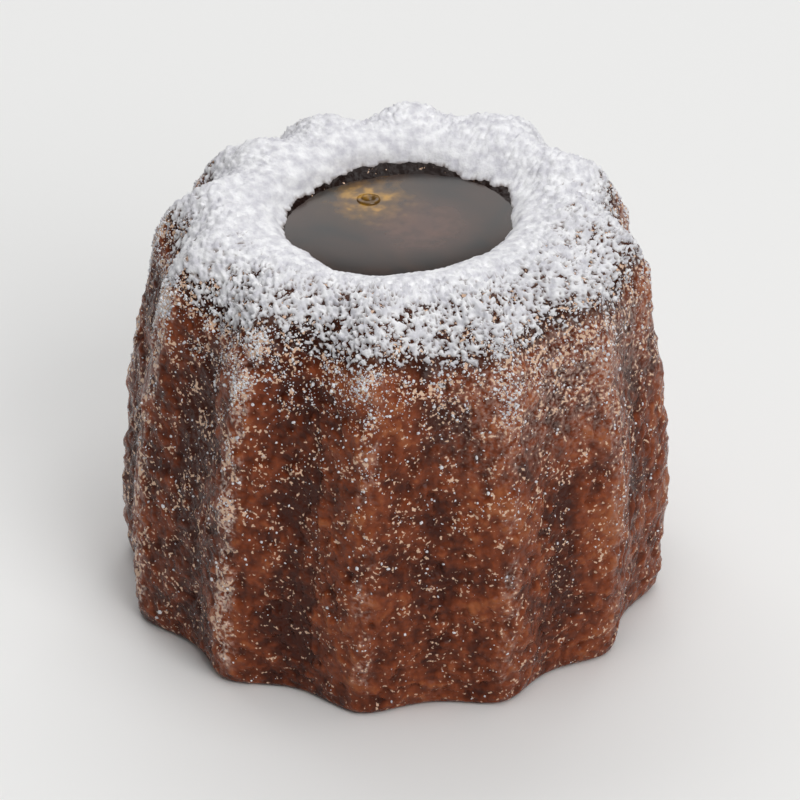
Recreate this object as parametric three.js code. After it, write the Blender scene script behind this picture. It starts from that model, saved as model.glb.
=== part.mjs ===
// A canelé: a small fluted pastry turned out of a ribbed mould, standing on its base with its crown up.
// Caramel fills the dimple of the crown and icing sugar lies round it.
// Millimetres, +Z up. The origin is on the table under the middle of the pastry, and its front faces -Y.
import * as THREE from "three";

const { degToRad, lerp, smoothstep } = THREE.MathUtils;

// Driving dimensions of the pastry, measured on its ridges
const FLUTES = 12;
const FOOT_RADIUS = 26.2; // outer edge of the flat ring that it stands on
const FOOT_WIDTH = 6; // the flat ring, from the hollow under the base to the bottom edge
const BASE_HOLLOW = 4; // rise of the hollow under the base
const HOLLOW_ROOF = 12; // how far out the roof of that hollow is pulled level
const BASE_RADIUS = 27.2;
const BASE_EDGE = 1.4; // height of the rounded bottom edge
const BELLY_RADIUS = 29.2; // where the wall's curve is pulled to, a little outside the belly itself
const BELLY_HEIGHT = 13;
const SHOULDER_RADIUS = 25.7;
const SHOULDER_HEIGHT = 34.6;
const CREST_RADIUS = 17.5;
const CREST_HEIGHT = 43.4;
const LEAN = 1.1; // the crown stands this far to +X of the base

// Flutes
const GROOVE_DEPTH = 2.3; // ridge to groove, on the wall
const CROWN_DIP = 1.3; // how far the grooves sink where they run on over the crown
const RIDGE_ROUNDNESS = 0.3; // 0 is a knife edge, and 1 nearly a sine wave
const FRONT_RIDGE = degToRad(-6); // the ridge nearest the front, turned from -Y towards +X

// How unevenly it came out of the mould, as waves round the pastry. The ridges drift off an even spacing by
// two slow waves. Each other kind of unevenness is the same three waves, at its own size and turned by its
// own angle.
const RIDGE_DRIFT = [
  { crests: 1, size: degToRad(3.2), start: degToRad(-44) },
  { crests: 2, size: degToRad(2.2), start: degToRad(37) },
];
const WAVES = [
  { crests: 2, size: 0.45, start: 0 },
  { crests: 3, size: 0.3, start: 0 },
  { crests: 5, size: 0.25, start: 0 },
];
const WALL_SWELL = { size: 0.45, turn: degToRad(11) };
const CREST_SWELL = { size: 0.5, turn: degToRad(92) };
const GROOVE_VARIATION = { size: 0.2, turn: degToRad(52) }; // a share of the grooves' depth

// Dimple of the crown and the caramel in it
const DIMPLE_FLOOR = 35.2;
const DIMPLE_LIP = 11.6; // how far in the crest runs level before it turns down
const DIMPLE_BOWL = 7.4; // radius of the round bottom
const DIMPLE_OVAL = 0.08; // the dimple is longer along one diameter, as a share of its radius
const DIMPLE_TURN = degToRad(108); // that diameter, turned from -Y towards +X
const POOL_LEVEL = 41;
const POOL_RADIUS = 11.5; // about the dimple's radius at that level, where the flutes have died out
const CLEARANCE = 0.3; // between the pastry and what lies on it

// Icing sugar on the crown. Its lower edge is a share of the way from the shoulder to the dimple's floor.
const SUGAR_DEPTH = 0.75;
const SUGAR_EDGE_DEPTH = 0.3;
const SUGAR_LIMIT = 0.2; // on the ridges
const SUGAR_TONGUE = 0.06; // how much lower the sugar reaches in the grooves
const SUGAR_RAGGED = { size: 0.035, turn: degToRad(138) };
const SUGAR_RAGS = 3; // the edge is ragged this many times as finely as the pastry is uneven

// Fineness of the facets: steps round each flute, and along each stretch of the outlines
const SEGMENTS = FLUTES * 8;
const STEPS = { hollow: 5, foot: 2, edge: 3, wall: 9, shoulder: 8, dimple: 8, pool: 6, sugar: 8 };

// Finishes
const CRUST = { color: 0x5a2c17, roughness: 0.42 };
const CARAMEL = { color: 0x2e1509, roughness: 0.08 };
const ICING_SUGAR = { color: 0xf1eff2, roughness: 0.95 };

const point = (radius, height) => new THREE.Vector2(radius, height);

// The height of some waves together, at an angle round the pastry
function ripple(waves, angle) {
  return waves.reduce((sum, { crests, size, start }) => sum + size * Math.sin(crests * (angle + start)), 0);
}

// One kind of unevenness at that angle
function uneven({ size, turn }, angle) {
  return size * ripple(WAVES, angle + turn);
}

// 0 along a ridge and 1 along a groove
function groove(angle) {
  const rise = Math.hypot(Math.sin((FLUTES / 2) * (angle - FRONT_RIDGE)), RIDGE_ROUNDNESS);
  return (rise - RIDGE_ROUNDNESS) / (Math.hypot(1, RIDGE_ROUNDNESS) - RIDGE_ROUNDNESS);
}

// Takes a point of the ridge outline to its place on the pastry, at an angle from the front that counts the
// flutes as evenly spaced
function mould({ x: radius, y: height }, angle) {
  const turned = angle + ripple(RIDGE_DRIFT, angle);
  const fluted = smoothstep(radius, POOL_RADIUS, SHOULDER_RADIUS);
  const crowned = smoothstep(height, SHOULDER_HEIGHT, CREST_HEIGHT);
  const depth = GROOVE_DEPTH * (1 + uneven(GROOVE_VARIATION, angle));
  const oval = 1 + DIMPLE_OVAL * (1 - fluted) * Math.cos(2 * (turned - DIMPLE_TURN));
  const reach = radius * oval - fluted * (depth * groove(angle) - uneven(WALL_SWELL, angle));
  const rise = height - crowned * fluted * (CROWN_DIP * groove(angle) - uneven(CREST_SWELL, angle));
  const lean = (LEAN * height) / CREST_HEIGHT;
  return new THREE.Vector3(reach * Math.sin(turned) + lean, -reach * Math.cos(turned), rise);
}

// Turns an outline round the axis, with each of its points moved by place(point, angle, step)
function revolve(outline, place) {
  const geometry = new THREE.LatheGeometry(outline, SEGMENTS);
  const position = geometry.getAttribute("position");
  for (let turn = 0; turn <= SEGMENTS; turn++) {
    const angle = FRONT_RIDGE + (2 * Math.PI * (turn % SEGMENTS)) / SEGMENTS;
    outline.forEach((spot, step) => {
      const { x, y, z } = place(spot, angle, step);
      position.setXYZ(turn * outline.length + step, x, y, z);
    });
  }
  geometry.computeVertexNormals();
  return geometry;
}

function namedMesh(name, geometry, finish) {
  const mesh = new THREE.Mesh(geometry, new THREE.MeshStandardMaterial(finish));
  mesh.name = name;
  return mesh;
}

// The pastry's outline along a ridge, from the axis under the base to the axis in the dimple
const hollow = new THREE.QuadraticBezierCurve(
  point(0, BASE_HOLLOW),
  point(HOLLOW_ROOF, BASE_HOLLOW),
  point(FOOT_RADIUS - FOOT_WIDTH, 0),
);
const foot = new THREE.LineCurve(point(FOOT_RADIUS - FOOT_WIDTH, 0), point(FOOT_RADIUS, 0));
const bottomEdge = new THREE.QuadraticBezierCurve(
  point(FOOT_RADIUS, 0),
  point(BASE_RADIUS, 0),
  point(BASE_RADIUS, BASE_EDGE),
);
const wall = new THREE.QuadraticBezierCurve(
  point(BASE_RADIUS, BASE_EDGE),
  point(BELLY_RADIUS, BELLY_HEIGHT),
  point(SHOULDER_RADIUS, SHOULDER_HEIGHT),
);
const shoulder = new THREE.EllipseCurve(
  CREST_RADIUS,
  SHOULDER_HEIGHT,
  SHOULDER_RADIUS - CREST_RADIUS,
  CREST_HEIGHT - SHOULDER_HEIGHT,
  0,
  Math.PI / 2,
);
const dimple = new THREE.CubicBezierCurve(
  point(CREST_RADIUS, CREST_HEIGHT),
  point(DIMPLE_LIP, CREST_HEIGHT),
  point(DIMPLE_BOWL, DIMPLE_FLOOR),
  point(0, DIMPLE_FLOOR),
);

// Shoulder and dimple as one curve, and how far along it the dimple starts
const crown = new THREE.CurvePath();
crown.add(shoulder);
crown.add(dimple);
const CREST_SHARE = shoulder.getLength() / crown.getLength();

// The point that far off a curve, on the side that faces out of the pastry
function offCurve(curve, share, distance) {
  const along = curve.getTangent(share);
  return curve.getPoint(share).add(point(along.y, -along.x).multiplyScalar(distance));
}

// How far along the crown, past its crest, a surface that far off it comes down to a height
function crownShareAt(height, distance) {
  let above = CREST_SHARE;
  let below = 1;
  while (below - above > Number.EPSILON) {
    const middle = (above + below) / 2;
    if (offCurve(crown, middle, distance).y > height) above = middle;
    else below = middle;
  }
  return below;
}

function makePastry() {
  const stretches = [
    [hollow, STEPS.hollow],
    [foot, STEPS.foot],
    [bottomEdge, STEPS.edge],
    [wall, STEPS.wall],
    [shoulder, STEPS.shoulder],
    [dimple, STEPS.dimple],
  ];
  const outline = stretches.flatMap(([curve, steps]) => curve.getPoints(steps).slice(1));
  outline.unshift(hollow.getPoint(0));
  return namedMesh("canele", revolve(outline, mould), CRUST);
}

// The caramel's outline, from the axis along the dimple to its rim and back over its level top
function makeCaramel() {
  const rim = crownShareAt(POOL_LEVEL, CLEARANCE);
  const outline = [];
  for (let step = 0; step <= STEPS.pool; step++) {
    outline.push(offCurve(crown, lerp(1, rim, step / STEPS.pool), CLEARANCE));
  }
  outline[0].x = 0;
  const reach = outline.at(-1).x;
  outline.push(point(reach / 2, POOL_LEVEL), point(0, POOL_LEVEL));
  return namedMesh("caramel_pool", revolve(outline, mould), CARAMEL);
}

// The sugar's outline, out along its underside and back along its top, thickest in the middle
function makeSugar() {
  const inner = crownShareAt(POOL_LEVEL + CLEARANCE, CLEARANCE);
  const skin = [];
  for (let step = 0; step <= STEPS.sugar; step++) {
    skin.push({ out: step / STEPS.sugar, depth: 0 });
  }
  for (let step = STEPS.sugar; step >= 0; step--) {
    const out = step / STEPS.sugar;
    skin.push({ out, depth: lerp(SUGAR_EDGE_DEPTH, SUGAR_DEPTH, Math.sin(Math.PI * out)) });
  }
  skin.push(skin[0]);
  const laid = ({ out, depth }, limit) => offCurve(crown, lerp(inner, limit, out), CLEARANCE + depth);
  const place = (spot, angle, step) => {
    const tongue = SUGAR_TONGUE * groove(angle) ** 2;
    return mould(laid(skin[step], SUGAR_LIMIT - tongue + uneven(SUGAR_RAGGED, SUGAR_RAGS * angle)), angle);
  };
  const outline = skin.map((spot) => laid(spot, SUGAR_LIMIT));
  return namedMesh("icing_sugar", revolve(outline, place), ICING_SUGAR);
}

// The whole thing, moved so that the origin is under the middle of its box
const canele = new THREE.Group();
canele.add(makePastry(), makeCaramel(), makeSugar());
const middle = new THREE.Box3().setFromObject(canele).getCenter(new THREE.Vector3());
canele.children.forEach((piece) => piece.position.set(-middle.x, -middle.y, 0));

export default canele;
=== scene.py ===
"""Dresses the canelé: its caramelised crust, the caramel in its dimple and the icing sugar sifted on it."""
import math

import bpy
import numpy as np
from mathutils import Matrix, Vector, noise


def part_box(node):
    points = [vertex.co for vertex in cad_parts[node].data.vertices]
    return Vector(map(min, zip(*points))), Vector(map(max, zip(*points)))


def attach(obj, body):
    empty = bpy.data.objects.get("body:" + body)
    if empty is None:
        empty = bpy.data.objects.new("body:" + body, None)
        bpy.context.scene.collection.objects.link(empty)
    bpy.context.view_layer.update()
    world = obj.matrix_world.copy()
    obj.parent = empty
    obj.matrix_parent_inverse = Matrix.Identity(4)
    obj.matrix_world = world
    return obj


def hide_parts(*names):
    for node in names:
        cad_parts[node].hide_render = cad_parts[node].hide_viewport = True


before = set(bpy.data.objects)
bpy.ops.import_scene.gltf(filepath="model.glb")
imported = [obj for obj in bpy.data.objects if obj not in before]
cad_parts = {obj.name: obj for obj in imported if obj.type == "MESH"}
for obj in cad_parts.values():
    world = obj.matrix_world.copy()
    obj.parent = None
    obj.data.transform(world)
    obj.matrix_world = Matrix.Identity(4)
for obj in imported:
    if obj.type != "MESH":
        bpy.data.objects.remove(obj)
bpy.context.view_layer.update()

# Lengths are in metres. A pair that a smooth step takes is where it starts and where it is whole.
MM = 0.001
POOL_LOW, POOL_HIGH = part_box("caramel_pool")
POOL_LEVEL = POOL_HIGH.z
POOL_MIDDLE = (POOL_LOW + POOL_HIGH) / 2

# Sides of the pastry: the angle that each one faces, from the front towards the right, and the cosines of
# the turn off that angle at which it starts and is whole
LEFT = math.radians(-90), 0.1, 0.8
FAR_LEFT = math.radians(-90), 0.5, 0.9
RIGHT = math.radians(90), 0, 0.6
FRONT = math.radians(25), -0.3, 0.7
BACK = math.radians(-170), -0.2, 0.8
BACK_LEFT = math.radians(-145), -0.1, 0.8
LEFT_LIP = math.radians(-85), 0.3, 1
RIGHT_LIP = math.radians(60), 0.5, 1

# The pastry as it came out of the mould
FLUTES = 12
FRONT_RIDGE = math.radians(-6)
WALL_LOW = 1.4 * MM
WALL_HIGH = 34.6 * MM
CREST_RADIUS = 17.5 * MM  # from the dimple's axis to the crest of the crown
DIMPLE_SWELL = 0.45 * MM  # how far the dimple's wall swells, to close the gap round the caramel
DIMPLE_LIP = 11.5 * MM, 15 * MM  # distances from the axis over which that dies out
MERGE_DISTANCE = 0.002 * MM
SUBDIVISIONS = 2

# Relief that the oven gave the crust: swellings by their height and spacing, pebbles, and pits
SWELLINGS = (0.3 * MM, 8 * MM), (0.2 * MM, 3 * MM), (0.22 * MM, 1.1 * MM)
PEBBLE_HEIGHT = 0.4 * MM
PEBBLE_SPACING = 2.2 * MM
PEBBLE_MEAN = 0.35  # about how far they raise the crust on the whole, as a share of their height
PIT_DEPTH = 0.3 * MM
PIT_SPACING = 1.7 * MM
PIT_WALL = 0.12, 0.4  # from a pit's middle to its floor's edge and to its rim, as shares of the spacing
DIMPLE_RELIEF = 0.25  # the share of the relief that the dimple has
RELIEF_REACH = 13 * MM, 17 * MM  # distances from the axis over which the rest comes in
RELIEF_FOOT = 0.1 * MM, 2 * MM  # heights over which the relief comes in above the level foot

# How sharply the crust bulges, per metre, on the line of a ridge, on a ridge and, inwards, in a groove
LINE_BULGE = 75, 165
RIDGE_BULGE = 20, 140
GROOVE_HOLLOW = 10, 70
WALL_FADE = 1.5 * MM, 4 * MM  # heights over which these count above the foot

# How much paler or darker its colour is made, as if it were raised or sunk by that many millimetres: painted
# light on the ridges, partly paler baking; painted shade in the grooves, partly burnt sugar; and painted
# shade all down the left side
RIDGE_PALER = 0.3
GROOVE_DARKER = 0.6
LEFT_PAINTED_SHADE = 0.3

# Sugar that dusts the crust. It has fallen in clumps, more of it high up, and with more specks on the far
# left, where the extra ones are painted sheen.
CLUMP_SPACING = 2.2 * MM
CLUMPED = -0.35, 0.45  # levels of noise
FALLEN = 0.04
FALLEN_CLUMPED = 0.16
FALLEN_HIGHER = 0.4
FAR_LEFT_SHEEN = 0.5
HIGHER = 8 * MM, 30 * MM
# It lies along the lines of the ridges, mostly on the left, broken up by noise of two weights and spacings.
# Along the ridges it is partly dust and partly painted sheen, the glossy crust's reflection of the pale
# floor, most of all on the left.
LINE_BREAKS = (1, 4 * MM), (1.2, 0.8 * MM)
LINE_KEPT = -0.4, 0.6  # levels of that noise
LINE_DUST = 0.4
LINE_SHEEN_LEFT = 1.6
# It has drifted high on the right
DRIFT_HEIGHT = 22 * MM, 36 * MM
# It peppers the crust below the edge of the sugar on the crown. The pairs are levels of that sugar's cover.
EDGE_NEAR = -1, 0.2
EDGE_UNDER = 0, 0.5
EDGE_UNDER_LESS = 0.7
# How much each kind adds to the specks of sugar, which also stand for painted glints, and to the veil of
# finer dust between them, which on the ridge lines is also painted sheen
EDGE_SPECKS = 0.17
DRIFT_SPECKS = 0.07
LINE_SPECKS = 0.14
DRIFT_VEIL = 0.3
LINE_VEIL = 0.5
VEIL_MOST = 0.9

# Where the crust is soaked dark: by caramel up to the dimple's lip, and under the sugar's cover
WET_RIM = 42.3 * MM, 43 * MM
WET_UNDER = 0.8
WET_COVER = 0, 0.6  # levels of that cover

# Sugar on the crown. Where it has thinned out, its skin is sunk under the crust.
SUGAR_DEPTH = 0.32 * MM
SUGAR_SUNK = 0.24 * MM
SUGAR_THIN = 0.14 * MM  # less than this and the crust shows through
SUGAR_GONE = 38.1 * MM  # heights over which it comes in up the outside
SUGAR_WHOLE = 41.5 * MM
SUGAR_TONGUE = 1.2 * MM  # how much lower it reaches in the grooves
SUGAR_RAGGED = 0.7 * MM
EDGE_WAVES = (5, 0.5, 1), (9, 0.3, 4), (23, 0.2, 0)  # crests round the pastry, height and start of each wave
RIM_GONE = POOL_LEVEL - 0.2 * MM  # heights over which it comes in up the dimple's wall
RIM_WHOLE = POOL_LEVEL + 0.5 * MM
RIM_BARE = 0.7 * MM  # how much higher it starts at the back left of the dimple
RIM_RAGGED = 0.4  # how ragged that edge is beside the outer one
RIM_CRUMBS = 0.3 * MM
CRUMB_SPACING = 1.5 * MM
LIP_EDGE = 12.5 * MM, 17 * MM  # distances from the axis over which the dimple's lip gives way to the crown
LIP_HEAP = 0.6 * MM  # how much deeper it lies on the left and the right of the lip
LIP_LOBES = 0.1 * MM  # how far it bulges and shrinks along the lip
LOBE_WAVES = (7, 0.6, 2), (11, 0.4, 0)
CROWN_THINNER = 0.09 * MM  # how much thinner it is off the lip
FRONT_THINNER = 0.12 * MM  # and how much more so on the front
FRONT_EDGE = 11.8 * MM, 14 * MM  # distances from the axis over which the front begins
CREST_HEAP = 1 * MM  # how much deeper it lies on the crest at the back
CREST_HEIGHT = 41.4 * MM, 43.2 * MM
CREST_FRONT = 0.12  # the share of that heap at the front
CREST_OUTSIDE = 17.5 * MM, 21 * MM  # distances from the axis over which it falls off
CREST_OUTSIDE_LESS = 0.7  # the share of it that is lost there
LUMP_HEIGHT = 0.15 * MM
LUMP_SPACING = 0.4 * MM
LUMPS_LEAST = 0.2  # shares of that height: everywhere, off the lip and at the front
LUMPS_ON_CROWN = 0.55
LUMPS_IN_FRONT = 0.5
MOUND_HEIGHT = 0.08 * MM
MOUND_SPACING = 3 * MM
SUGAR_INNER_CUT = POOL_LEVEL - 0.9 * MM  # heights at which its patch of the crown is cut out
SUGAR_OUTER_CUT = 34 * MM
SUGAR_UNDERSIDE = 1.4 * MM  # how far its underside lies in the pastry
SUGAR_DEEPEST = 1.1 * MM  # how far its skin may be sunk, which is less

# Loose sugar on the crust: the name of each kind, how many grains, the sides and rings of one, its radius
# and how far the radii spread. It is drawn as the clumps that it falls in, as single grains are too fine.
LOOSE_SUGAR = (
    ("sugar_grains", 9500, 5, 3, 0.09 * MM, 0.4),
    ("sugar_dust", 12000, 4, 3, 0.055 * MM, 0.3),
)
RANDOM = np.random.default_rng(seed=12)
GRAIN_SEED = 4
GRAIN_KNOCK = 0.3  # how far its corners are knocked out of round, as a share of its radius
GRAIN_STRETCH = 0.6, 1.4  # the least and the most that it is stretched each way
GRAIN_LIFT = 0.2  # how far its middle stands off the crust, as a share of its radius
GRAIN_EXTREME = 2  # the radii end this many spreads from their mean
# How readily they stick: low down, higher, at the sugar's edge, on the left, in clumps and on ridge lines
STUCK_LOW = 0.15
STUCK_HIGHER = 0.35
STUCK_AT_EDGE = 3
STUCK_EDGE = 30 * MM, 39 * MM
STUCK_LEFT = 0.3
STUCK_LOOSE = 0.4
STUCK_CLUMPED = 1.2
STUCK_ON_LINES = 4
STUCK_FOOT = 0.5 * MM  # none stick below this
STUCK_FACING = -0.5, 0.2  # nor where the crust faces down; these are how far up it faces

# Caramel in the dimple
POOL_SPREAD = 1.12  # how much wider it is made than its solid, to reach into the crust
POOL_RINGS = 1.06, 1, 0.95, 0.9, 0.85, 0.78, 0.68, 0.5, 0.25  # rings of its top, as shares of its radius
POOL_SLACK = 0.01 * MM  # what lies this close under its level is its top
MENISCUS = 0.28 * MM  # how far it climbs at its rim
MENISCUS_REACH = 0.3  # how fast that dies out inwards, as a share of its radius
BUBBLE = POOL_MIDDLE.x - 3.3 * MM, POOL_MIDDLE.y + 5.5 * MM, POOL_LEVEL  # a bubble in it
BUBBLE_RADIUS = 0.7 * MM
BUBBLE_SIDES = 48
BUBBLE_SHAPE = 1, 0.8, 0.5  # what squashing leaves of it each way
BUBBLE_CUT = 0.06 * MM  # where its dome gives way to its skirt, above its middle
BUBBLE_RISE = 0.035 * MM
# Rings of that skirt: how much wider each is than the last, and how much lower
SKIRT = (1.08, 0.03 * MM), (1.1, 0.02 * MM), (1.15, 0.015 * MM), (1.2, 0.01 * MM), (1.1, 0.3 * MM)
GLOW_REACH = 8 * MM  # how far the painted golden glow reaches round the bubble
CLOUD = POOL_MIDDLE.x + 2 * MM, POOL_MIDDLE.y + 0.5 * MM, POOL_LEVEL  # a browner cloud beside it
CLOUD_REACH = 7 * MM

# Stage, with the place, the width, the height and the power in watts of each softbox
FLOOR_SIZE = 8
ROOM_LIGHT = 0.2
SOFTBOXES = (
    ("back_softbox", (-0.1, 0.72, 0.86), 1.2, 0.75, 4.7),
    ("overhead_softbox", (0.1, -0.05, 0.9), 0.6, 0.6, 2.65),
    ("front_softbox", (0.44, -0.72, 0.75), 0.6, 0.6, 5.2),
)
LIGHT_TARGET = Vector((0, 0, 20 * MM))
CAMERA_TARGET = Vector((0.5 * MM, 0, 20.5 * MM))
CAMERA_ELEVATION = math.radians(32.3)
CAMERA_DISTANCE = 1.6
CAMERA_SENSOR = 36  # in millimetres, as the lens is
SHOWN_WIDTH = 80.6 * MM


# Working with pieces


def take(piece):
    """Makes a piece the only one that the operators act on."""
    bpy.ops.object.select_all(action="DESELECT")
    piece.select_set(True)
    bpy.context.view_layer.objects.active = piece


def edit(piece, select="SELECT"):
    """Opens a piece in edit mode with all of it selected, or nothing."""
    take(piece)
    bpy.ops.object.mode_set(mode="EDIT")
    bpy.ops.mesh.select_mode(type="FACE")
    bpy.ops.mesh.select_all(action=select)


def leave_edit():
    """Goes back from edit mode."""
    bpy.ops.object.mode_set(mode="OBJECT")


def edit_where(piece, chosen):
    """Opens a piece in edit mode with the chosen vertices selected, and the faces between them."""
    edit(piece, "DESELECT")
    leave_edit()
    piece.data.vertices.foreach_set("select", chosen)
    bpy.ops.object.mode_set(mode="EDIT")
    bpy.ops.mesh.select_mode(type="VERT")


def select_open_edges():
    """Selects only the open edges of the piece in edit mode."""
    bpy.ops.mesh.select_mode(type="EDGE")
    bpy.ops.mesh.select_all(action="DESELECT")
    bpy.ops.mesh.select_non_manifold()


def cap_off():
    """Closes the selected rim of the piece in edit mode, faces all of it outwards and leaves edit mode."""
    bpy.ops.mesh.edge_face_add()
    bpy.ops.mesh.select_all(action="SELECT")
    bpy.ops.mesh.normals_make_consistent(inside=False)
    leave_edit()


def add_piece(name, mesh):
    """A new piece with that mesh."""
    piece = bpy.data.objects.new(name, mesh)
    bpy.context.scene.collection.objects.link(piece)
    return piece


def points_of(piece):
    """Where a piece's vertices are, one row each."""
    places = np.empty(len(piece.data.vertices) * 3, np.float32)
    piece.data.vertices.foreach_get("co", places)
    return places.reshape(-1, 3).astype(float)


def normals_of(piece):
    """Which way a piece's surface faces at its vertices, one row each."""
    facing = np.empty(len(piece.data.vertices) * 3, np.float32)
    piece.data.vertex_normals.foreach_get("vector", facing)
    return facing.reshape(-1, 3).astype(float)


def push_out(piece, heights):
    """Moves each vertex of a piece out along its normal."""
    places = points_of(piece) + normals_of(piece) * heights[:, None]
    piece.data.vertices.foreach_set("co", places.ravel())
    piece.data.update()


def subdivide_surface(piece):
    """Makes a piece finer, as a smooth surface drawn from its faces."""
    take(piece)
    modifier = piece.modifiers.new("finer", "SUBSURF")
    modifier.levels = SUBDIVISIONS
    modifier.render_levels = SUBDIVISIONS
    bpy.ops.object.modifier_apply(modifier=modifier.name)


def note(piece, name, values):
    """Keeps a number at each vertex, for the material to read."""
    attribute = piece.data.attributes.new(name, "FLOAT", "POINT")
    attribute.data.foreach_set("value", np.asarray(values, np.float32))


def noted(piece, name):
    """The numbers that were kept under that name."""
    values = np.empty(len(piece.data.vertices), np.float32)
    piece.data.attributes[name].data.foreach_get("value", values)
    return values.astype(float)


def bulge(piece):
    """How sharply a piece's surface bulges at each vertex, per metre, as the mean along its edges."""
    ends = np.empty(len(piece.data.edges) * 2, np.int32)
    piece.data.edges.foreach_get("vertices", ends)
    ends = np.concatenate([ends.reshape(-1, 2), ends.reshape(-1, 2)[:, ::-1]])
    points = points_of(piece)
    steps = points[ends[:, 1]] - points[ends[:, 0]]
    bends = -2 * (steps * normals_of(piece)[ends[:, 0]]).sum(axis=1) / (steps * steps).sum(axis=1)
    counts = np.bincount(ends[:, 0], minlength=len(points))
    return np.bincount(ends[:, 0], bends, len(points)) / counts


def finish_piece(piece, material, slot, *nodes):
    """Gives a piece its material and puts it on the part."""
    piece.data.materials.clear()
    piece.data.materials.append(material)
    take(piece)
    bpy.ops.object.shade_smooth()
    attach(piece, "root")
    if nodes:
        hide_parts(*nodes)


# Places round the dimple, and unevenness


def axis_distance(points):
    """How far points lie from the axis of the dimple."""
    return np.hypot(points[:, 0] - POOL_MIDDLE.x, points[:, 1] - POOL_MIDDLE.y)


def axis_angle(points):
    """At what angle points lie round that axis."""
    return np.arctan2(points[:, 0] - POOL_MIDDLE.x, POOL_MIDDLE.y - points[:, 1])


def smooth_step(start, whole, value):
    """0 up to the start and 1 from where it is whole, with a smooth rise between them."""
    share = np.clip((value - start) / (whole - start), 0, 1)
    return share * share * (3 - 2 * share)


def towards(angle, faced, start, whole):
    """1 on the side of the pastry that faces an angle and 0 away from it."""
    return smooth_step(start, whole, np.cos(angle - faced))


def waves(kinds, angle):
    """The height of some waves together, at angles round the pastry."""
    return sum(height * np.sin(crests * angle + start) for crests, height, start in kinds)


NOISE_OCTAVES = 1, 2, 2  # how fast they fade, how much finer each one is, and how many there are
NOISE_SPREAD = 0.3  # about the standard deviation of that noise
PEBBLE_OCTAVES = 2


def rough(points, spacing):
    """Smooth noise from about -1 to 1 at each point, with bumps that far apart."""
    return np.array([noise.fractal(Vector(point), *NOISE_OCTAVES) for point in points / spacing])


def pebbled(points, spacing):
    """Rounded bumps from 0 to about 1, that far apart and with sharp creases between them."""
    return np.array([noise.turbulence(Vector(point), PEBBLE_OCTAVES, True) for point in points / spacing])


def pitted(points, spacing):
    """1 in the middle of pits that far apart, and 0 outside them."""
    nearest = np.array([noise.voronoi(Vector(point))[0][0] for point in points / spacing])
    return 1 - smooth_step(*PIT_WALL, nearest)


# Materials. The sockets of Mix and Math nodes go by number, because their names repeat.
MIX_SHARE, MIX_UNDER, MIX_OVER, MIX_SHOWN = 0, 6, 7, 2


def colour(hexed):
    """An sRGB hex colour as the linear numbers that a shader takes."""
    parts = [int(hexed[start:start + 2], 16) / 255 for start in (1, 3, 5)]
    linear = [part / 12.92 if part <= 0.04045 else ((part + 0.055) / 1.055) ** 2.4 for part in parts]
    return (*linear, 1)


def new_material(name):
    """A material with a plain Principled shader; returns both."""
    material = bpy.data.materials.new(name)
    material.use_nodes = True
    return material, material.node_tree.nodes["Principled BSDF"]


def fill_inputs(node, inputs):
    """Links a node's inputs to the sockets given, or sets them to the values given."""
    for key, value in inputs.items():
        if isinstance(value, bpy.types.NodeSocket):
            node.id_data.links.new(value, node.inputs[key])
        else:
            node.inputs[key].default_value = value


def add_node(material, kind, inputs=None, ramp=(), **settings):
    """Adds a node, with its settings, its inputs and the stops of a colour ramp."""
    node = material.node_tree.nodes.new(kind)
    for key, value in settings.items():
        setattr(node, key, value)
    fill_inputs(node, inputs or {})
    for stop in ramp[2:]:
        node.color_ramp.elements.new(stop[0])
    for element, (position, shade) in zip(node.color_ramp.elements if ramp else (), ramp):
        element.position = position
        element.color = colour(shade)
    return node


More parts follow.
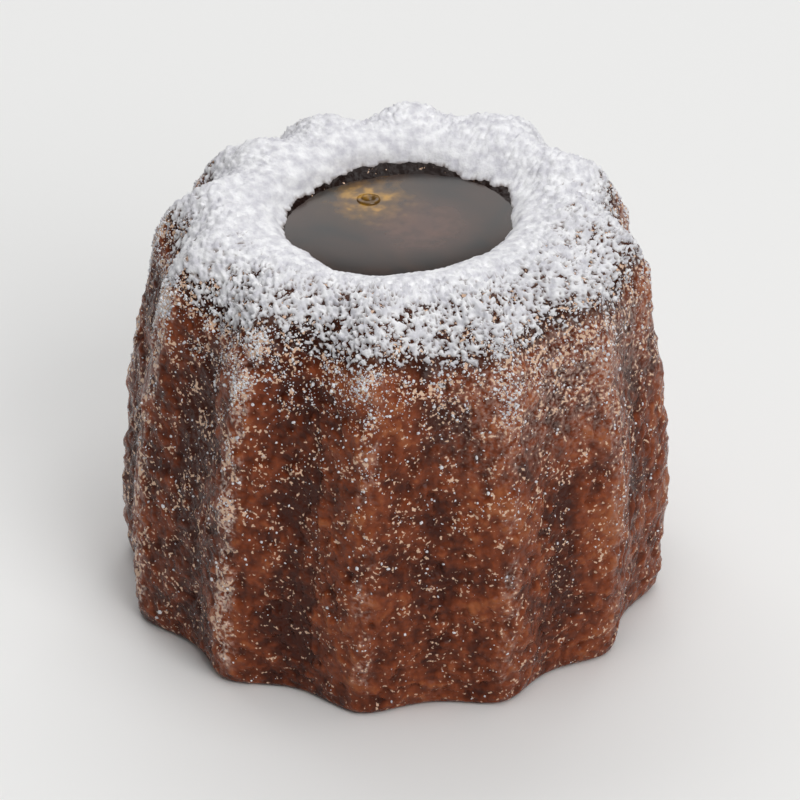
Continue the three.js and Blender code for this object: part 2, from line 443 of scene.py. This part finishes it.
def caramelised_crust():
    """Sugar and beeswax baked dark on a moulded pastry: a satin pitted skin, near black to chestnut."""
    material, shader = new_material("caramelised_crust")
    place = add_node(material, "ShaderNodeTexCoord").outputs["Object"]
    painted_shade_and_baking, dust_and_glints, wet, dust_veil_and_sheen = (
        add_node(material, "ShaderNodeAttribute", attribute_name=name).outputs["Fac"]
        for name in ("painted_shade_and_baking", "dust_and_glints", "wet", "dust_veil_and_sheen")
    )
    # Browner and paler patches, a mottle of burnt sugar within them, and painted shade in the creases
    # between pebbles
    patches = add_node(
        material, "ShaderNodeTexNoise", {"Vector": place, "Scale": 1 / (6 * MM), "Detail": 2}
    ).outputs["Fac"]
    mottle = add_node(
        material,
        "ShaderNodeTexNoise",
        {"Vector": place, "Scale": 1 / (1.2 * MM), "Detail": 2, "Roughness": 0.5},
    ).outputs["Fac"]
    creases = add_node(
        material,
        "ShaderNodeTexVoronoi",
        {"Vector": place, "Scale": 1 / (0.85 * MM), "Smoothness": 0.25},
        feature="SMOOTH_F1",
    ).outputs["Distance"]
    # Painted light and shade: darker in the creases, pits, grooves and on the left, paler on bump tops and
    # ridges
    baked_and_shaded = mottle
    for layer, weight in ((patches, 1.1), (creases, -0.3), (painted_shade_and_baking, 0.5)):
        baked_and_shaded = add_node(
            material, "ShaderNodeMath", {0: layer, 1: weight, 2: baked_and_shaded}, operation="MULTIPLY_ADD"
        ).outputs[0]
    browning_and_shade = add_node(
        material, "ShaderNodeMapRange", {"Value": baked_and_shaded, "From Min": 0.45, "From Max": 1.3}
    ).outputs["Result"]
    shown = add_node(
        material,
        "ShaderNodeValToRGB",
        {"Fac": browning_and_shade},
        ramp=[(0.1, "#431a0b"), (0.4, "#652d15"), (0.65, "#803d20"), (0.95, "#9a5631")],
    ).outputs["Color"]
    # A veil of dust and painted sheen broken up into grains, the soaked rim, and specks of sugar that also
    # stand for painted glints, drawn coarse enough to show
    grains = add_node(
        material, "ShaderNodeTexNoise", {"Vector": place, "Scale": 1 / (0.4 * MM), "Detail": 1}
    ).outputs["Fac"]
    kept = add_node(
        material, "ShaderNodeMapRange", {"Value": grains, "From Min": 0.38, "From Max": 0.6}
    ).outputs["Result"]
    veil_and_sheen = add_node(material, "ShaderNodeMath", {0: dust_veil_and_sheen, 1: kept}, operation="MULTIPLY").outputs[0]
    fallen = add_node(
        material, "ShaderNodeMath", {0: dust_and_glints, 1: 0.45, 2: grains}, operation="MULTIPLY_ADD"
    ).outputs[0]
    # Specks of sugar that are also painted glints
    specks_and_glints = add_node(
        material, "ShaderNodeMapRange", {"Value": fallen, "From Min": 0.71, "From Max": 0.77}
    ).outputs["Result"]
    # The veil is partly painted sheen, and the specks are partly painted glints
    for share, shade in ((veil_and_sheen, "#ecd6ca"), (wet, "#1b0a05"), (specks_and_glints, "#e0bda2")):
        shown = add_node(
            material,
            "ShaderNodeMix",
            {MIX_SHARE: share, MIX_UNDER: shown, MIX_OVER: colour(shade)},
            data_type="RGBA",
        ).outputs[MIX_SHOWN]
    # Duller where the mottle is high, and pebbled too finely to model
    dullness = add_node(
        material,
        "ShaderNodeMapRange",
        {"Value": mottle, "From Min": 0.3, "From Max": 0.7, "To Min": 0.18, "To Max": 0.34},
    ).outputs["Result"]
    pebbles = add_node(
        material, "ShaderNodeMath", {0: creases, 1: -0.7, 2: mottle}, operation="MULTIPLY_ADD"
    ).outputs[0]
    bump = add_node(material, "ShaderNodeBump", {"Height": pebbles, "Strength": 1, "Distance": 0.45 * MM})
    finish = {
        "Base Color": shown,
        "Roughness": dullness,
        "IOR": 1.5,
        "Specular IOR Level": 0.12,
        "Coat Weight": 0.15,
        "Coat Roughness": 0.2,
        "Normal": bump.outputs["Normal"],
    }
    fill_inputs(shader, finish)
    return material


def sifted_icing_sugar():
    """Milled sugar fallen from a sieve: bright, matt and granular, its grain drawn coarse enough to show."""
    material, shader = new_material("sifted_icing_sugar")
    place = add_node(material, "ShaderNodeTexCoord").outputs["Object"]
    thin = add_node(material, "ShaderNodeAttribute", attribute_name="thin").outputs["Fac"]
    clumps = add_node(
        material, "ShaderNodeTexNoise", {"Vector": place, "Scale": 1 / (1.1 * MM), "Detail": 4}
    ).outputs["Fac"]
    white = add_node(
        material, "ShaderNodeValToRGB", {"Fac": clumps}, ramp=[(0.3, "#cdccd3"), (0.65, "#f7f7f9")]
    ).outputs["Color"]
    # Where it is thin, the crust shows through it
    shown = add_node(
        material,
        "ShaderNodeMix",
        {MIX_SHARE: thin, MIX_UNDER: white, MIX_OVER: colour("#8d8380")},
        data_type="RGBA",
    ).outputs[MIX_SHOWN]
    grains = add_node(
        material, "ShaderNodeTexNoise", {"Vector": place, "Scale": 1 / (0.2 * MM), "Detail": 3}
    ).outputs["Fac"]
    bump = add_node(material, "ShaderNodeBump", {"Height": grains, "Strength": 0.6, "Distance": 0.12 * MM})
    finish = {
        "Base Color": shown,
        "Roughness": 0.9,
        "Specular IOR Level": 0.25,
        "Normal": bump.outputs["Normal"],
    }
    fill_inputs(shader, finish)
    return material


def liquid_caramel():
    """Boiled sugar poured to a level: dark amber, with a smooth skin that mirrors the room softly."""
    material, shader = new_material("liquid_caramel")
    place = add_node(material, "ShaderNodeTexCoord").outputs["Object"]
    swirl = add_node(
        material,
        "ShaderNodeTexNoise",
        {"Vector": place, "Scale": 1 / (6 * MM), "Detail": 2, "Distortion": 0.8},
    ).outputs["Fac"]
    shown = add_node(
        material, "ShaderNodeValToRGB", {"Fac": swirl}, ramp=[(0.35, "#120905"), (0.7, "#331c0e")]
    ).outputs["Color"]
    # Painted glow: golden round the bubble and brown in the cloud beside it, added where light would come
    # back through the caramel in flecks
    flecks = add_node(
        material, "ShaderNodeTexNoise", {"Vector": place, "Scale": 1 / (1.4 * MM), "Detail": 2}
    ).outputs["Fac"]
    flecked = add_node(
        material,
        "ShaderNodeMapRange",
        {"Value": flecks, "From Min": 0.3, "From Max": 0.7, "To Min": 0.55, "To Max": 1},
    ).outputs["Result"]
    golden_glow = [(0.12, "#000000"), (0.35, "#231806"), (0.55, "#5f430c"), (0.75, "#ae801d")]
    brown = [(0.05, "#000000"), (0.6, "#4e3329")]
    for middle, reach, tints in ((BUBBLE, GLOW_REACH, golden_glow), (CLOUD, CLOUD_REACH, brown)):
        around = add_node(
            material,
            "ShaderNodeMapping",
            {"Vector": place, "Location": middle, "Scale": (reach, reach, reach)},
            vector_type="TEXTURE",
        ).outputs["Vector"]
        nearness = add_node(
            material, "ShaderNodeTexGradient", {"Vector": around}, gradient_type="SPHERICAL"
        ).outputs["Fac"]
        thinned = add_node(
            material, "ShaderNodeMath", {0: nearness, 1: flecked}, operation="MULTIPLY"
        ).outputs[0]
        tint = add_node(material, "ShaderNodeValToRGB", {"Fac": thinned}, ramp=tints).outputs["Color"]
        shown = add_node(
            material,
            "ShaderNodeMix",
            {MIX_SHARE: 1, MIX_UNDER: shown, MIX_OVER: tint},
            data_type="RGBA",
            blend_type="ADD",
        ).outputs[MIX_SHOWN]
    fill_inputs(shader, {"Base Color": shown, "Roughness": 0.17, "IOR": 1.5})
    return material


def pale_board():
    """Painted board: matt and near white, the plain stand that the pastry is shown on."""
    material, shader = new_material("pale_board")
    fill_inputs(shader, {"Base Color": colour("#f1f1f0"), "Roughness": 0.6})
    return material


# The pastry


def copy_of(node, name):
    """A copy of a solid, its loose triangles merged and paired into quads."""
    piece = add_piece(name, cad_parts[node].data.copy())
    edit(piece)
    bpy.ops.mesh.remove_doubles(threshold=MERGE_DISTANCE)
    bpy.ops.mesh.tris_convert_to_quads(face_threshold=math.pi, shape_threshold=math.pi)
    leave_edit()
    return piece


def mould_pastry():
    """The pastry as it came out of the mould, with the wall of its dimple swollen to meet the caramel."""
    moulded = copy_of("canele", "moulded")
    subdivide_surface(moulded)
    push_out(moulded, DIMPLE_SWELL * (1 - smooth_step(*DIMPLE_LIP, axis_distance(points_of(moulded)))))
    return moulded


def baked_relief(points):
    """How far the oven raised the crust at points of the moulded pastry: swollen, pebbled and pitted."""
    swollen = sum(height * rough(points, spacing) for height, spacing in SWELLINGS)
    pebbles = PEBBLE_HEIGHT * (pebbled(points, PEBBLE_SPACING) - PEBBLE_MEAN)
    pits = PIT_DEPTH * pitted(points, PIT_SPACING)
    calm = DIMPLE_RELIEF + (1 - DIMPLE_RELIEF) * smooth_step(*RELIEF_REACH, axis_distance(points))
    return (swollen + pebbles - pits) * calm * smooth_step(*RELIEF_FOOT, points[:, 2])


def bake_crust(moulded, material):
    """The pastry itself: pebbled, blistered and pitted by the oven, and level where it stands."""
    crust = add_piece("crust", moulded.data.copy())
    points = points_of(crust)
    within_wall = (points[:, 2] > WALL_LOW) & (points[:, 2] < WALL_HIGH)
    edit_where(crust, within_wall & (axis_distance(points) > CREST_RADIUS))
    bpy.ops.mesh.subdivide(number_cuts=1, smoothness=1)
    leave_edit()
    points = points_of(crust)
    bulging = bulge(crust)
    relief = baked_relief(points)
    push_out(crust, relief)
    colour_crust(crust, points, bulging, relief)
    finish_piece(crust, material, "crust", "canele")
    return crust


def colour_crust(crust, points, bulging, relief):
    """Notes where the crust gets painted light and shade, partly from uneven baking, where it is dusted with
    sugar and painted sheen, or soaked.
    """
    height = points[:, 2]
    angle = axis_angle(points)
    on_crown = axis_distance(points) < CREST_RADIUS
    on_wall = ~on_crown * smooth_step(*WALL_FADE, height)
    left = towards(angle, *LEFT)
    far_left = towards(angle, *FAR_LEFT)
    ridge = smooth_step(*RIDGE_BULGE, bulging) * on_wall
    groove = smooth_step(*GROOVE_HOLLOW, -bulging) * on_wall
    # Painted shade and light in the colour: the crust's own relief darkens its pits and lightens its tops,
    # ridges are paler, grooves and the left side darker
    note(crust, "painted_shade_and_baking", relief / MM + RIDGE_PALER * ridge - GROOVE_DARKER * groove - LEFT_PAINTED_SHADE * left)
    clumps = smooth_step(*CLUMPED, rough(points, CLUMP_SPACING))
    fallen = (FALLEN + FALLEN_CLUMPED * clumps) * (1 + FALLEN_HIGHER * smooth_step(*HIGHER, height))
    kept = smooth_step(*LINE_KEPT, sum(weight * rough(points, spacing) for weight, spacing in LINE_BREAKS))
    line = smooth_step(*LINE_BULGE, bulging) * on_wall * kept
    # Painted sheen: the ridge lines, and most of all the left ones, are made paler as if the glossy crust
    # mirrored the pale floor
    line_dust_and_sheen = line * (LINE_DUST + LINE_SHEEN_LEFT * (left + far_left))
    drifted = towards(angle, *RIGHT) * smooth_step(*DRIFT_HEIGHT, height)
    cover = sugar_cover(points)
    at_edge = smooth_step(*EDGE_NEAR, cover) * (1 - EDGE_UNDER_LESS * smooth_step(*EDGE_UNDER, cover))
    dry = np.where(on_crown, smooth_step(*WET_RIM, height), 1)
    # Specks of sugar, which also stand for painted glints of the glossy crust
    specks_and_glints = fallen * (1 + FAR_LEFT_SHEEN * far_left) + EDGE_SPECKS * at_edge
    note(crust, "dust_and_glints", (specks_and_glints + DRIFT_SPECKS * drifted + LINE_SPECKS * line_dust_and_sheen) * dry)
    note(crust, "dust_veil_and_sheen", np.minimum(DRIFT_VEIL * drifted + LINE_VEIL * line_dust_and_sheen, VEIL_MOST) * dry)
    note(crust, "caught", (STUCK_LOOSE + STUCK_CLUMPED * clumps) * (1 + STUCK_ON_LINES * line))
    note(crust, "wet", np.maximum(1 - dry, WET_UNDER * smooth_step(*WET_COVER, cover)))


# The sugar


def sugar_cover(points):
    """How much sugar lies at each point: 1 where it is whole, 0 where it has thinned out, less past that."""
    height = points[:, 2]
    angle = axis_angle(points)
    groove = (1 - np.cos(FLUTES * (angle - FRONT_RIDGE))) / 2
    ragged = SUGAR_RAGGED * waves(EDGE_WAVES, angle)
    outside = (height + SUGAR_TONGUE * groove + ragged - SUGAR_GONE) / (SUGAR_WHOLE - SUGAR_GONE)
    bare = RIM_BARE * towards(angle, *BACK_LEFT)
    crumbled = RIM_RAGGED * ragged + RIM_CRUMBS * rough(points, CRUMB_SPACING)
    inside = (height - bare + crumbled - RIM_GONE) / (RIM_WHOLE - RIM_GONE)
    return np.minimum(np.where(axis_distance(points) < CREST_RADIUS, inside, outside), 1)


def sugar_depth(points):
    """How deep the sugar is at each point, or how far under the crust its skin is sunk."""
    radius = axis_distance(points)
    angle = axis_angle(points)
    crown = smooth_step(*LIP_EDGE, radius)
    front = towards(angle, *FRONT) * smooth_step(*FRONT_EDGE, radius)
    lying = (SUGAR_DEPTH + SUGAR_SUNK) * sugar_cover(points) - SUGAR_SUNK
    thinned = CROWN_THINNER * crown + FRONT_THINNER * front
    heaped = LIP_HEAP * (towards(angle, *LEFT_LIP) + towards(angle, *RIGHT_LIP))
    lip = (1 - crown) * (heaped + LIP_LOBES * waves(LOBE_WAVES, angle))
    crest = CREST_HEAP * (CREST_FRONT + (1 - CREST_FRONT) * towards(angle, *BACK))
    crest *= smooth_step(*CREST_HEIGHT, points[:, 2])
    crest *= 1 - CREST_OUTSIDE_LESS * smooth_step(*CREST_OUTSIDE, radius)
    lumpy = LUMPS_LEAST + LUMPS_ON_CROWN * crown + LUMPS_IN_FRONT * front
    lumps = LUMP_HEIGHT * lumpy * rough(points, LUMP_SPACING) / NOISE_SPREAD
    mounds = MOUND_HEIGHT * crown * rough(points, MOUND_SPACING) / NOISE_SPREAD
    return lying - thinned + lip + crest + lumps + mounds


def sift_sugar(moulded, material):
    """The sugar on the crown, raised where it lies and sunk into the crust where it doesn't."""
    sugar = add_piece("icing_sugar_crown", moulded.data.copy())
    for inside, cut in ((True, SUGAR_INNER_CUT), (False, SUGAR_OUTER_CUT)):
        edit_where(sugar, (axis_distance(points_of(sugar)) < CREST_RADIUS) == inside)
        bpy.ops.mesh.bisect(plane_co=(0, 0, cut), plane_no=(0, 0, 1), clear_inner=True)
        leave_edit()
    underside = add_piece("icing_sugar_underside", sugar.data.copy())
    push_out(underside, np.full(len(underside.data.vertices), -SUGAR_UNDERSIDE))
    edit(underside)
    bpy.ops.mesh.flip_normals()
    leave_edit()
    edit(sugar)
    bpy.ops.mesh.subdivide(number_cuts=1, smoothness=1)
    leave_edit()
    points = points_of(sugar)
    swelling, spacing = SWELLINGS[0]
    heights = np.maximum(swelling * rough(points, spacing) + sugar_depth(points), -SUGAR_DEEPEST)
    push_out(sugar, heights)
    note(sugar, "thin", 1 - smooth_step(0, SUGAR_THIN, heights - baked_relief(points)))
    close_sugar(sugar, underside)
    finish_piece(sugar, material, "icing_sugar", "icing_sugar")


def close_sugar(sugar, underside):
    """Joins the sugar's skin to its underside, along its rim in the dimple and along its lower edge."""
    take(sugar)
    underside.select_set(True)
    bpy.ops.object.join()
    for inside in (True, False):
        edit(sugar, "DESELECT")
        select_open_edges()
        leave_edit()
        open_rim = np.empty(len(sugar.data.vertices), bool)
        sugar.data.vertices.foreach_get("select", open_rim)
        edit_where(sugar, open_rim & ((axis_distance(points_of(sugar)) < CREST_RADIUS) == inside))
        bpy.ops.mesh.select_mode(type="EDGE")
        bpy.ops.mesh.bridge_edge_loops()
        leave_edit()


def shape_grain(sides, rings):
    """One grain of radius 1, as its points and triangles: a ball of few faces, knocked out of round."""
    bpy.ops.object.select_all(action="DESELECT")
    bpy.ops.mesh.primitive_uv_sphere_add(segments=sides, ring_count=rings, radius=1)
    grain = bpy.context.object
    edit(grain)
    bpy.ops.mesh.quads_convert_to_tris()
    bpy.ops.transform.vertex_random(offset=GRAIN_KNOCK, seed=GRAIN_SEED)
    leave_edit()
    points = points_of(grain)
    faces = np.array([face.vertices[:] for face in grain.data.polygons])
    bpy.data.objects.remove(grain)
    return points, faces


def stray_sugar(crust):
    """How readily grains stick to the crust at each vertex."""
    points = points_of(crust)
    height = points[:, 2]
    higher = STUCK_HIGHER * smooth_step(*HIGHER, height) + STUCK_AT_EDGE * smooth_step(*STUCK_EDGE, height)
    patchy = (1 - STUCK_LEFT * np.sin(axis_angle(points))) * noted(crust, "caught")
    open_side = (height > STUCK_FOOT) & (axis_distance(points) > CREST_RADIUS)
    facing = smooth_step(*STUCK_FACING, normals_of(crust)[:, 2])
    return np.where(open_side, (STUCK_LOW + higher) * patchy, 0) * facing


def scatter(name, surface, chances, count, grain, size, spread, material):
    """Sprinkles grains over a surface, more where the chance is higher, and joins them into one piece."""
    mesh = surface.data
    mesh.calc_loop_triangles()
    corners = np.empty(len(mesh.loop_triangles) * 3, np.int32)
    mesh.loop_triangles.foreach_get("vertices", corners)
    triangles = points_of(surface)[corners].reshape(-1, 3, 3)
    across = np.cross(triangles[:, 1] - triangles[:, 0], triangles[:, 2] - triangles[:, 0])
    twice_area = np.linalg.norm(across, axis=1)
    facing = across / twice_area[:, None]
    odds = twice_area * chances[corners].reshape(-1, 3).mean(axis=1)
    picked = RANDOM.choice(len(triangles), count, p=odds / odds.sum())
    shares = RANDOM.dirichlet((1, 1, 1), count)
    spots = (triangles[picked] * shares[:, :, None]).sum(axis=1)
    extreme = GRAIN_EXTREME * spread
    radii = size * np.exp(np.clip(RANDOM.normal(0, spread, count), -extreme, extreme))
    turns = np.linalg.qr(RANDOM.normal(size=(count, 3, 3)))[0]
    turns *= np.linalg.det(turns)[:, None, None]
    stretch = RANDOM.uniform(*GRAIN_STRETCH, (count, 1, 3))
    shape, faces = grain
    grains = (shape[None] * stretch) @ turns * radii[:, None, None]
    grains += (spots + facing[picked] * radii[:, None] * GRAIN_LIFT)[:, None, :]
    all_faces = faces[None] + (np.arange(count) * len(shape))[:, None, None]
    joined = bpy.data.meshes.new(name)
    joined.from_pydata(grains.reshape(-1, 3), [], all_faces.reshape(-1, 3))
    finish_piece(add_piece(name, joined), material, "icing_sugar")


# The caramel


def climb(reach):
    """How far the caramel has climbed off its level, that many of its radii from its middle."""
    return MENISCUS * math.exp((reach - 1) / MENISCUS_REACH)


def pour_caramel(material):
    """The caramel: a level pool that climbs a little where it wets the dimple's wall."""
    pool = copy_of("caramel_pool", "caramel")
    middle = POOL_MIDDLE.x, POOL_MIDDLE.y, POOL_LEVEL
    edit_where(pool, points_of(pool)[:, 2] > POOL_LEVEL - POOL_SLACK)
    bpy.ops.mesh.select_mode(type="FACE")
    bpy.ops.mesh.delete(type="FACE")
    bpy.ops.mesh.select_all(action="SELECT")
    bpy.ops.transform.resize(value=(POOL_SPREAD, POOL_SPREAD, 1), center_override=middle)
    select_open_edges()
    bpy.ops.transform.translate(value=(0, 0, climb(POOL_SPREAD) - climb(1)))
    rim = POOL_SPREAD
    for reach in POOL_RINGS:
        drop = {"value": (0, 0, climb(reach) - climb(rim))}
        bpy.ops.mesh.extrude_edges_move(TRANSFORM_OT_translate=drop)
        bpy.ops.transform.resize(value=(reach / rim, reach / rim, 1), center_override=middle)
        rim = reach
    cap_off()
    subdivide_surface(pool)
    finish_piece(pool, material, "caramel", "caramel_pool")


def blow_bubble(material):
    """A bubble that has set in the skin of the caramel: a low dome with a skirt that runs into the pool."""
    bpy.ops.object.select_all(action="DESELECT")
    bpy.ops.mesh.primitive_uv_sphere_add(
        segments=BUBBLE_SIDES, ring_count=BUBBLE_SIDES // 2, radius=BUBBLE_RADIUS
    )
    bubble = bpy.context.object
    bubble.name = "bubble"
    edit(bubble)
    bpy.ops.transform.resize(value=BUBBLE_SHAPE)
    bpy.ops.mesh.bisect(plane_co=(0, 0, BUBBLE_CUT), plane_no=(0, 0, 1), clear_inner=True)
    select_open_edges()
    for wider, lower in SKIRT:
        bpy.ops.mesh.extrude_edges_move(TRANSFORM_OT_translate={"value": (0, 0, -lower)})
        bpy.ops.transform.resize(value=(wider, wider, 1), center_override=(0, 0, 0))
    cap_off()
    edit(bubble)
    bpy.ops.transform.translate(value=Vector(BUBBLE) + Vector((0, 0, BUBBLE_RISE)))
    leave_edit()
    finish_piece(bubble, material, "caramel")


# Stage, light and camera


def lay_floor(material):
    """The plain floor that the pastry stands on."""
    bpy.ops.object.select_all(action="DESELECT")
    bpy.ops.mesh.primitive_plane_add(size=FLOOR_SIZE)
    floor = bpy.context.object
    floor.name = "floor"
    floor.data.materials.append(material)


def hang_light(name, place, width, height, power):
    """A softbox aimed at the pastry."""
    light = bpy.data.lights.new(name, "AREA")
    light.shape = "RECTANGLE"
    light.size = width
    light.size_y = height
    light.energy = power
    lamp = bpy.data.objects.new(name, light)
    lamp.location = place
    lamp.rotation_euler = (LIGHT_TARGET - Vector(place)).to_track_quat("-Z", "Y").to_euler()
    bpy.context.scene.collection.objects.link(lamp)


def light_room():
    """A pale room with its softboxes, shown without a film look."""
    world = bpy.data.worlds.new("room")
    world.use_nodes = True
    fill_inputs(world.node_tree.nodes["Background"], {"Color": colour("#fdfdfd"), "Strength": ROOM_LIGHT})
    bpy.context.scene.world = world
    for softbox in SOFTBOXES:
        hang_light(*softbox)
    bpy.context.scene.view_settings.view_transform = "Standard"


def set_camera():
    """A long lens that looks down on the front of the pastry."""
    camera = bpy.data.cameras.new("camera")
    camera.sensor_width = CAMERA_SENSOR
    camera.lens = CAMERA_SENSOR * CAMERA_DISTANCE / SHOWN_WIDTH
    viewer = bpy.data.objects.new("camera", camera)
    outwards = Vector((0, -math.cos(CAMERA_ELEVATION), math.sin(CAMERA_ELEVATION)))
    viewer.location = CAMERA_TARGET + CAMERA_DISTANCE * outwards
    viewer.rotation_euler = (-outwards).to_track_quat("-Z", "Y").to_euler()
    bpy.context.scene.collection.objects.link(viewer)
    bpy.context.scene.camera = viewer


set_camera()
light_room()
lay_floor(pale_board())
icing = sifted_icing_sugar()
moulded = mould_pastry()
crust = bake_crust(moulded, caramelised_crust())
sift_sugar(moulded, icing)
bpy.data.objects.remove(moulded)
chances = stray_sugar(crust)
for name, count, sides, rings, size, spread in LOOSE_SUGAR:
    scatter(name, crust, chances, count, shape_grain(sides, rings), size, spread, icing)
caramel = liquid_caramel()
pour_caramel(caramel)
blow_bubble(caramel)
